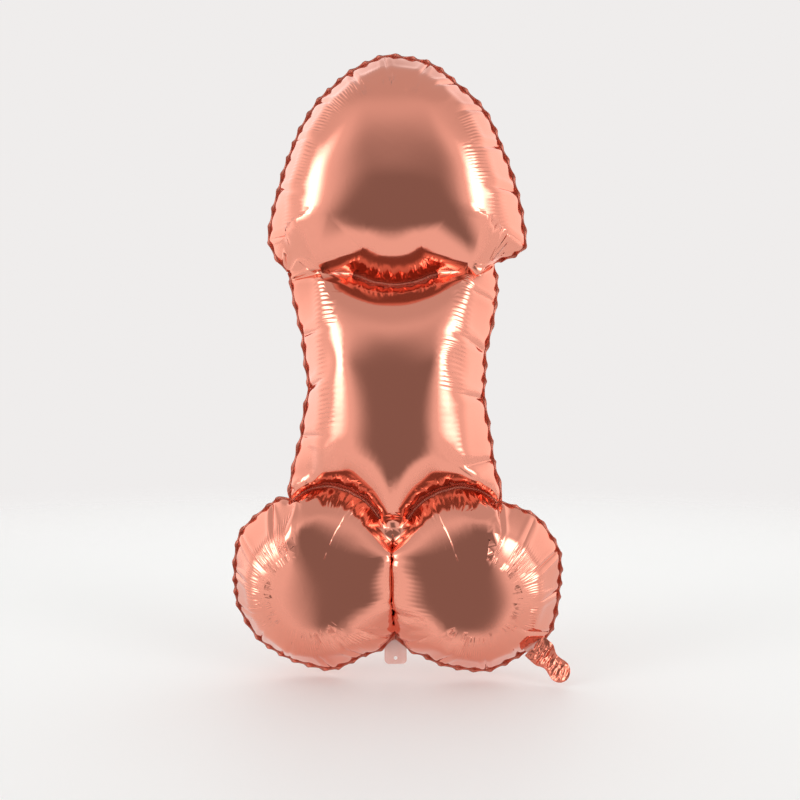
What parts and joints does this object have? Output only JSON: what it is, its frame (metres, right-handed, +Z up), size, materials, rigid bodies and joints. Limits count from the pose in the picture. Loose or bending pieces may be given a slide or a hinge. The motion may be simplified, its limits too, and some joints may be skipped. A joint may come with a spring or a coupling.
{
  "type": "foil figure balloon",
  "caption": "Large free-standing metallic foil balloon with a domed head chamber, a straight shaft chamber and two round lobes, a valve tail and a ribbon tab.",
  "frame": {"origin": "on the table, midway between the two lobes and in the plane of the seam", "axes": "+Z up along the balloon's height, front towards -Y, +X to the right as seen from the front"},
  "size_m": [0.4632, 0.178, 0.8506],
  "materials": {
    "foil": "mirror-bright rose gold metallised film",
    "weld": "embossed welded film",
    "clear_film": "clear polyethylene film"
  },
  "bodies": {
    "balloon": {"front_foil": "foil", "back_foil": "foil", "rim_seam": "weld", "head_seal": "weld", "left_lobe_seal": "weld", "right_lobe_seal": "weld", "lobe_web": "weld", "valve_front_film": "clear_film", "valve_back_film": "clear_film"},
    "tail": {"tail_front_foil": "foil", "tail_back_foil": "foil"},
    "tab": {"ribbon_tab": "clear_film"}
  },
  "joints": [
    {"name": "tail_fold", "type": "hinge", "parent": "balloon", "child": "tail", "pos_m": [0.19764, 0, 0.0372], "axis": [0.6654, 0, 0.7465], "range_deg": [-82, 138]},
    {"name": "tab_fold", "type": "hinge", "parent": "balloon", "child": "tab", "pos_m": [0, 0, 0.051], "axis": [1, 0, 0], "range_deg": [-90, 90]}
  ]
}
